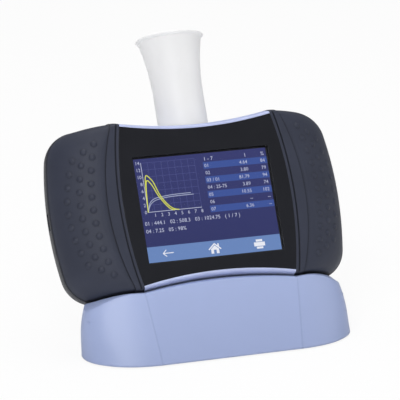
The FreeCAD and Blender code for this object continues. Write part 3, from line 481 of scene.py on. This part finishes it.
def clear_panel(name):
    """A clear touch panel: most light goes straight through, and its face reflects a little."""
    finish = Finish(name)
    finish.join(finish.blend(finish.noise(20), (0.008, 0.009, 0.011), (0.012, 0.013, 0.016)),
                finish.shader.inputs["Base Color"])
    finish.join(finish.spread(finish.noise(120), 0.05, 0.1), finish.shader.inputs["Roughness"])
    finish.set(Alpha=0.06, IOR=1.45)
    return finish.material


def tube_plastic(name, base):
    """Thin white plastic that lets a little light through its wall, with a painted glow: it gives off
    its own colour at a quarter strength, though it is no lamp.
    """
    finish = Finish(name)
    tint = finish.blend(finish.noise(35, 3), scaled(base, 0.97), base, 0.3, 0.7)
    finish.join(tint, finish.shader.inputs["Base Color"])
    finish.join(finish.spread(finish.noise(300), 0.36, 0.46), finish.shader.inputs["Roughness"])
    finish.bump(finish.noise(1200, 2), 0.00001, 0.4, finish.soft_edges(0.0003))
    # Painted glow: the tube gives off its own colour as light.
    finish.join(tint, finish.shader.inputs["Emission Color"])
    finish.set(Transmission_Weight=0.08, IOR=1.3, Subsurface_Weight=0.5,
               Subsurface_Radius=(0.006, 0.006, 0.006), Subsurface_Scale=1.0, Emission_Strength=0.25)
    return finish.material


def brushed(name, base, roughness=0.32):
    """Metal with a fine grain across its height."""
    finish = Finish(name)
    grain = finish.noise(700, 3, (1, 1, 18))
    tint = finish.blend(grain, scaled(base, 0.85), scaled(base, 1.1), 0.3, 0.7)
    finish.join(tint, finish.shader.inputs["Base Color"])
    finish.join(finish.spread(grain, roughness - 0.08, roughness + 0.1),
                finish.shader.inputs["Roughness"])
    finish.bump(grain, 0.00001, 0.4, finish.soft_edges(0.00015))
    finish.set(Metallic=1.0)
    return finish.material


def circuit(name):
    """A circuit board: green resist over faint copper tracks."""
    finish = Finish(name)
    tracks = finish.nodes.new("ShaderNodeTexBrick")
    tracks.inputs["Scale"].default_value = 220
    tracks.inputs["Mortar Size"].default_value = 0.04
    finish.join(finish.place, tracks.inputs["Vector"])
    tint = finish.blend(tracks.outputs["Fac"], (0.012, 0.11, 0.045), (0.03, 0.2, 0.08))
    finish.join(tint, finish.shader.inputs["Base Color"])
    finish.join(finish.spread(finish.noise(300), 0.25, 0.4), finish.shader.inputs["Roughness"])
    finish.bump(tracks.outputs["Fac"], 0.00003, 0.5)
    return finish.material


def lit(name, first, second, low, high):
    """A lit part of the screen, shading from one colour to another between two heights."""
    finish = Finish(name)
    level = finish.nodes.new("ShaderNodeMapRange")
    level.inputs["From Min"].default_value = low
    level.inputs["From Max"].default_value = high
    finish.join(finish.axes()[2], level.inputs["Value"])
    tint = finish.blend(level.outputs["Result"], first, second)
    finish.join(tint, finish.shader.inputs["Emission Color"])
    finish.join(finish.blend(finish.noise(900), (0.001, 0.001, 0.001), (0.004, 0.004, 0.004)),
                finish.shader.inputs["Base Color"])
    finish.set(Emission_Strength=1.0, Roughness=0.6, Specular_IOR_Level=0.0)
    return finish.material


# Screen content

def outline(points, faces, corners):
    start = len(points)
    points.extend(corners)
    faces.append(tuple(range(start, start + len(corners))))


def flat_area(points, faces, left, top, right, bottom, lift):
    outline(points, faces, [on_screen(left, bottom, lift), on_screen(right, bottom, lift),
                            on_screen(right, top, lift), on_screen(left, top, lift)])


def stroke(points, faces, path, width, lift):
    """A line of even width along a path."""
    for (x0, y0), (x1, y1) in zip(path, path[1:]):
        run = math.hypot(x1 - x0, y1 - y0)
        if run == 0:
            continue
        nx, ny = -(y1 - y0) / run * width / 2, (x1 - x0) / run * width / 2
        ex, ey = (x1 - x0) / run * width / 4, (y1 - y0) / run * width / 4
        outline(points, faces, [
            on_screen(x0 + nx - ex, y0 + ny - ey, lift), on_screen(x1 + nx + ex, y1 + ny + ey, lift),
            on_screen(x1 - nx + ex, y1 - ny + ey, lift), on_screen(x0 - nx - ex, y0 - ny - ey, lift)])


def screen_number(points, faces, text, across, base, height, align="LEFT"):
    """A number in Blender's own font, its digits as high as asked."""
    curve = bpy.data.curves.new("digits", "FONT")
    curve.body = text
    curve.align_x = align
    curve.size = height * MM / DIGIT_SHARE
    curve.resolution_u = 2
    writing = bpy.data.objects.new("digits", curve)
    mesh = bpy.data.meshes.new_from_object(writing)
    start = len(points)
    for vertex in mesh.vertices:
        points.append(on_screen(across + vertex.co.x / MM, base - vertex.co.y / MM, INK_LIFT))
    for polygon in mesh.polygons:
        faces.append(tuple(start + index for index in polygon.vertices))
    bpy.data.meshes.remove(mesh)
    bpy.data.objects.remove(writing)
    bpy.data.curves.remove(curve)


def graph_x(value):
    return GRAPH_LEFT + value * UNIT_ACROSS


def graph_y(value):
    return GRAPH_FOOT - value * UNIT_UP


def rounded(path):
    """The same path with its corners cut twice."""
    for _ in range(2):
        fuller = [path[0]]
        for (x0, y0), (x1, y1) in zip(path, path[1:]):
            fuller += [(x0 * 0.75 + x1 * 0.25, y0 * 0.75 + y1 * 0.25),
                       (x0 * 0.25 + x1 * 0.75, y0 * 0.25 + y1 * 0.75)]
        path = fuller + [path[-1]]
    return path


def curves(points, faces, paths, width, lift):
    for path in paths:
        stroke(points, faces, [(graph_x(x), graph_y(y)) for x, y in rounded(path)], width, lift)


def screen_piece(name, build, first, second=None):
    """One piece of the screen, in one colour or shading from its first at the top to its second."""
    points, faces = [], []
    build(points, faces)
    foot = bpy.context.scene.spirometer_sizes.screen_height / MM
    material = lit(name + "_light", second or first, first, on_screen(0, foot).z, on_screen(0, 0).z)
    new_piece(name, points, faces, "handheld", material)


class SPIROMETER_OT_screen(bpy.types.Operator):
    """Lit screen with its graph, table, numbers and bottom bar"""

    bl_idname = "spirometer.screen"
    bl_label = "Screen"

    def execute(self, context):
        shades = context.scene.screen_finishes
        wide = context.scene.spirometer_sizes.screen_width / MM
        high = context.scene.spirometer_sizes.screen_height / MM
        ink = tuple(shades.ink)

        def background(points, faces):
            flat_area(points, faces, 0, 0, wide, high, 0)
        screen_piece("screen_background", background, tuple(shades.top), tuple(shades.bottom))

        def bar(points, faces):
            flat_area(points, faces, 0, BAR_TOP, wide, high, AREA_LIFT)
        screen_piece("screen_bottom_bar", bar, tuple(shades.bar))

        def rows(points, faces):
            for row in range(0, len(TABLE), 2):
                top, foot = ROWS_TOP + row * ROW, ROW_FOOT + row * ROW
                flat_area(points, faces, ROWS_LEFT, top, wide, foot, AREA_LIFT)
        screen_piece("screen_table_rows", rows, tuple(shades.rows))

        def grid(points, faces):
            for number in range(1, GRAPH_WIDE + 1):
                x = graph_x(number)
                stroke(points, faces, [(x, GRAPH_TOP), (x, graph_y(0))], GRID_LINE, GRID_LIFT)
            for number in range(2, GRAPH_HIGH + 1, 2):
                y = graph_y(number)
                stroke(points, faces, [(graph_x(0), y), (graph_x(GRAPH_WIDE), y)], GRID_LINE, GRID_LIFT)
        screen_piece("screen_grid", grid, tuple(shades.grid))

        def axes(points, faces):
            path = [(graph_x(0), GRAPH_TOP), (graph_x(0), graph_y(0)), (graph_x(GRAPH_WIDE), graph_y(0))]
            stroke(points, faces, path, AXIS_LINE, AXES_LIFT)
        screen_piece("screen_axes", axes, ink)

        def strong(points, faces):
            curves(points, faces, STRONG_CURVES, STRONG_LINE, STRONG_LIFT)
        screen_piece("screen_strong_curves", strong, tuple(shades.strong_line))

        def faint(points, faces):
            curves(points, faces, FAINT_CURVES, FAINT_LINE, FAINT_LIFT)
        screen_piece("screen_faint_curves", faint, tuple(shades.faint_line))

        def numbers(points, faces):
            def write(*text_and_place):
                screen_number(points, faces, *text_and_place)
            for number in range(0, GRAPH_HIGH + 1, 2):
                base = graph_y(number) + BELOW_GRID_LINE
                write(str(number), GRAPH_LEFT - BESIDE_AXIS, base, AXIS_DIGITS, "RIGHT")
            for number in range(1, GRAPH_WIDE + 1):
                write(str(number), graph_x(number), GRAPH_FOOT + BELOW_AXIS, AXIS_DIGITS, "CENTER")
            for text, across, align in HEADINGS:
                write(text, across, HEADING_BASE, NOTE_DIGITS, align)
            for row, (label, value, share) in enumerate(TABLE):
                base = ROW_BASE + row * ROW
                write(label, LABELS_LEFT, base, TABLE_DIGITS)
                write(value, VALUES_RIGHT, base, TABLE_DIGITS, "RIGHT")
                write(share, SHARES_RIGHT, base, TABLE_DIGITS, "RIGHT")
            for text, base in NOTES:
                write(text, NOTES_LEFT, base, NOTE_DIGITS)
        screen_piece("screen_numbers", numbers, ink)

        def icons(points, faces):
            for path in ARROW:
                stroke(points, faces, path, ARROW_LINE, INK_LIFT)
            stroke(points, faces, ROOF, ROOF_LINE, INK_LIFT)
            flat_area(points, faces, *CHIMNEY, INK_LIFT)
            for shape in HOUSE_SHAPES:
                outline(points, faces, [on_screen(x, y, INK_LIFT) for x, y in shape])
            for area in PRINTER_AREAS:
                flat_area(points, faces, *area, INK_LIFT)
        screen_piece("screen_icons", icons, ICON_LIGHT)
        return {"FINISHED"}


class SPIROMETER_OT_handheld(bpy.types.Operator):
    """Handheld: housings, bezel, touch panel, grips and their trim"""

    bl_idname = "spirometer.handheld"
    bl_label = "Handheld"

    def execute(self, context):
        shades = context.scene.spirometer_finishes
        paint("front_housing", moulded("housing_plastic", tuple(shades.housing), 0.42))
        rear = moulded("rear_plastic", tuple(shades.rear), 0.5, depth=0.00005)
        for node in ("rear_housing", "battery_door"):
            paint(node, rear)
        soft = rubber("grip_rubber", tuple(shades.grip))
        for node in ("left_grip", "right_grip"):
            paint(node, soft)
        paint("bezel", glossy_black("bezel_plastic", tuple(shades.bezel)))
        paint("touch_panel", clear_panel("touch_clear"))
        paint("display_module", moulded("display_frame", (0.01, 0.01, 0.012), 0.4))
        paint("display_gasket", rubber("gasket_foam", (0.012, 0.012, 0.012), 0.8))
        paint("power_button", rubber("button_rubber", srgb(84, 88, 102), 0.5))
        return {"FINISHED"}


class SPIROMETER_OT_tube(bpy.types.Operator):
    """Breathing tube and its mesh windows"""

    bl_idname = "spirometer.tube"
    bl_label = "Breathing Tube"

    def execute(self, context):
        shades = context.scene.spirometer_finishes
        paint("breathing_tube", tube_plastic("tube_white", tuple(shades.tube)))
        paint("tube_meshes", moulded("mesh_plastic", (0.7, 0.72, 0.75), 0.5, grain=5000, depth=0.0001))
        return {"FINISHED"}


class SPIROMETER_OT_cradle(bpy.types.Operator):
    """Desk cradle, its base and its pads"""

    bl_idname = "spirometer.cradle"
    bl_label = "Cradle"

    def execute(self, context):
        shades = context.scene.spirometer_finishes
        shell = swelled_shell(context.scene.spirometer_sizes)
        shell.data.materials.clear()
        shell.data.materials.append(cradle_plastic("cradle_plastic", tuple(shades.cradle)))
        paint("base_plate", moulded("base_plastic", (0.03, 0.03, 0.034), 0.5))
        foot = rubber("foot_rubber", (0.02, 0.02, 0.022), 0.75)
        for node in ("base_pad", "pocket_pads"):
            paint(node, foot)
        paint("contact_block", moulded("block_plastic", (0.02, 0.02, 0.022), 0.45))
        paint("ballast_plate", brushed("ballast_steel", (0.32, 0.33, 0.34), 0.5))
        return {"FINISHED"}


class SPIROMETER_OT_inner_parts(bpy.types.Operator):
    """Boards, sensors, battery, contacts and screws"""

    bl_idname = "spirometer.inner_parts"
    bl_label = "Inner Parts"

    def execute(self, context):
        green = circuit("board_resist")
        for node in ("main_board", "power_board", "cradle_board"):
            paint(node, green)
        steel = brushed("plain_steel", (0.56, 0.57, 0.58))
        for node in ("usb_port", "power_socket", "radio_module", "housing_screws", "base_screws",
                     "left_transducer", "right_transducer"):
            paint(node, steel)
        gold = brushed("contact_gold", (0.83, 0.62, 0.28), 0.25)
        for node in ("charging_pads", "contact_pins", "contact_barrels", "battery_terminals"):
            paint(node, gold)
        black = moulded("inner_plastic", (0.02, 0.02, 0.022), 0.5)
        for node in ("sensor_tunnel", "buzzer", "power_switch"):
            paint(node, black)
        boots = rubber("boot_rubber", (0.015, 0.015, 0.015), 0.7)
        for node in ("left_boot", "right_boot"):
            paint(node, boots)
        paint("board_ribbon", moulded("ribbon_amber", (0.45, 0.2, 0.03), 0.35))
        paint("battery_pack", moulded("battery_wrap", (0.05, 0.1, 0.26), 0.3))
        return {"FINISHED"}


# Stage

def area_lamp(name, place, size, power):
    """A lamp that points at the object."""
    lamp = bpy.data.lights.new(name, "AREA")
    lamp.shape = "RECTANGLE"
    lamp.size = size[0]
    lamp.size_y = size[1]
    lamp.energy = power
    obj = bpy.data.objects.new(name, lamp)
    bpy.context.scene.collection.objects.link(obj)
    obj.location = place
    obj.rotation_euler = (Vector(LAMP_AIM) - Vector(place)).to_track_quat("-Z", "Y").to_euler()


def floor_material(glow_share):
    """A white floor: mostly plain white to the camera, over a faint shadow of the object."""
    material = bpy.data.materials.new("floor_white")
    material.use_nodes = True
    nodes, links = material.node_tree.nodes, material.node_tree.links
    shader = nodes["Principled BSDF"]
    shader.inputs["Roughness"].default_value = 0.9
    place = nodes.new("ShaderNodeTexCoord")
    cloud = nodes.new("ShaderNodeTexNoise")
    cloud.inputs["Scale"].default_value = 3
    links.new(place.outputs["Object"], cloud.inputs["Vector"])
    ramp = nodes.new("ShaderNodeValToRGB")
    ramp.color_ramp.elements[0].color = (0.93, 0.93, 0.93, 1)
    ramp.color_ramp.elements[1].color = (0.95, 0.95, 0.95, 1)
    links.new(cloud.outputs["Fac"], ramp.inputs["Fac"])
    links.new(ramp.outputs["Color"], shader.inputs["Base Color"])
    glow = nodes.new("ShaderNodeEmission")
    rays = nodes.new("ShaderNodeLightPath")
    seen = nodes.new("ShaderNodeMath")
    seen.operation = "MAXIMUM"
    links.new(rays.outputs["Is Camera Ray"], seen.inputs[0])
    links.new(rays.outputs["Is Transmission Ray"], seen.inputs[1])
    share = nodes.new("ShaderNodeMath")
    share.operation = "MULTIPLY"
    share.inputs[1].default_value = glow_share
    links.new(seen.outputs[0], share.inputs[0])
    mix = nodes.new("ShaderNodeMixShader")
    links.new(share.outputs[0], mix.inputs["Fac"])
    links.new(shader.outputs["BSDF"], mix.inputs[1])
    links.new(glow.outputs["Emission"], mix.inputs[2])
    links.new(mix.outputs["Shader"], nodes["Material Output"].inputs["Surface"])
    return material


class SPIROMETER_OT_stage(bpy.types.Operator):
    """Floor, world, lamps and the camera"""

    bl_idname = "spirometer.stage"
    bl_label = "Stage"

    def execute(self, context):
        scene = context.scene
        settings = scene.stage_settings
        scene.view_settings.view_transform = "Standard"

        mesh = bpy.data.meshes.new("floor")
        corners = ((-1, -1), (1, -1), (1, 1), (-1, 1))
        mesh.from_pydata([(x * FLOOR_HALF, y * FLOOR_HALF, 0) for x, y in corners], [], [(0, 1, 2, 3)])
        floor = bpy.data.objects.new("floor", mesh)
        scene.collection.objects.link(floor)
        floor.location.z = -FLOOR_DROP
        mesh.materials.append(floor_material(settings.floor_glow))

        world = bpy.data.worlds.new("studio")
        scene.world = world
        world.use_nodes = True
        nodes, links = world.node_tree.nodes, world.node_tree.links
        background = nodes["Background"]
        background.inputs["Color"].default_value = (1, 1, 1, 1)
        rays = nodes.new("ShaderNodeLightPath")
        level = nodes.new("ShaderNodeMapRange")
        level.inputs["To Min"].default_value = settings.ambient
        level.inputs["To Max"].default_value = 1.0
        links.new(rays.outputs["Is Camera Ray"], level.inputs["Value"])
        links.new(level.outputs["Result"], background.inputs["Strength"])

        for name, place, size, power in LAMPS:
            area_lamp(name, place, size, getattr(settings, power))

        azimuth, elevation = settings.azimuth, settings.elevation
        forward = Vector((
            -math.sin(azimuth) * math.cos(elevation),
            math.cos(azimuth) * math.cos(elevation),
            -math.sin(elevation)))
        right = forward.cross(Vector((0, 0, 1))).normalized()
        up = right.cross(forward)
        sizes = scene.spirometer_sizes
        aim = on_handheld(0, 0, -sizes.screen_drop)
        aim += right * settings.shift_right + up * settings.shift_up
        camera_data = bpy.data.cameras.new("camera")
        camera_data.lens = settings.focal
        camera_data.sensor_width = SENSOR_MILLIMETRES
        camera_data.clip_start = CAMERA_NEAR
        camera = bpy.data.objects.new("camera", camera_data)
        scene.collection.objects.link(camera)
        place = aim - forward * settings.distance
        turn = Matrix((right, up, -forward)).transposed().to_4x4()
        camera.matrix_world = Matrix.Translation(place) @ turn
        scene.camera = camera
        return {"FINISHED"}


PIECES = (
    SPIROMETER_OT_handheld,
    SPIROMETER_OT_screen,
    SPIROMETER_OT_tube,
    SPIROMETER_OT_cradle,
    SPIROMETER_OT_inner_parts,
    SPIROMETER_OT_stage,
)

GROUPS = (
    ("spirometer_finishes", SpirometerFinishes),
    ("screen_finishes", ScreenFinishes),
    ("spirometer_sizes", SpirometerSizes),
    ("stage_settings", StageSettings),
)


class SPIROMETER_PT_panel(bpy.types.Panel):
    """Lists the spirometer's settings and pieces"""

    bl_idname = "SPIROMETER_PT_panel"
    bl_label = "Spirometer"
    bl_space_type = "VIEW_3D"
    bl_region_type = "UI"
    bl_category = "Spirometer"

    def draw(self, context):
        layout = self.layout
        for name, group in GROUPS:
            box = layout.box()
            settings = getattr(context.scene, name)
            for field in group.__annotations__:
                box.prop(settings, field)
        for piece in PIECES:
            layout.operator(piece.bl_idname)


def register():
    for name, group in GROUPS:
        bpy.utils.register_class(group)
        setattr(bpy.types.Scene, name, PointerProperty(type=group))
    for piece in PIECES:
        bpy.utils.register_class(piece)
    bpy.utils.register_class(SPIROMETER_PT_panel)


def unregister():
    bpy.utils.unregister_class(SPIROMETER_PT_panel)
    for piece in reversed(PIECES):
        bpy.utils.unregister_class(piece)
    for name, group in reversed(GROUPS):
        delattr(bpy.types.Scene, name)
        bpy.utils.unregister_class(group)


def main():
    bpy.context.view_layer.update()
    register()
    for piece in PIECES:
        area, name = piece.bl_idname.split(".")
        getattr(getattr(bpy.ops, area), name)()


if __name__ == "__main__":
    main()
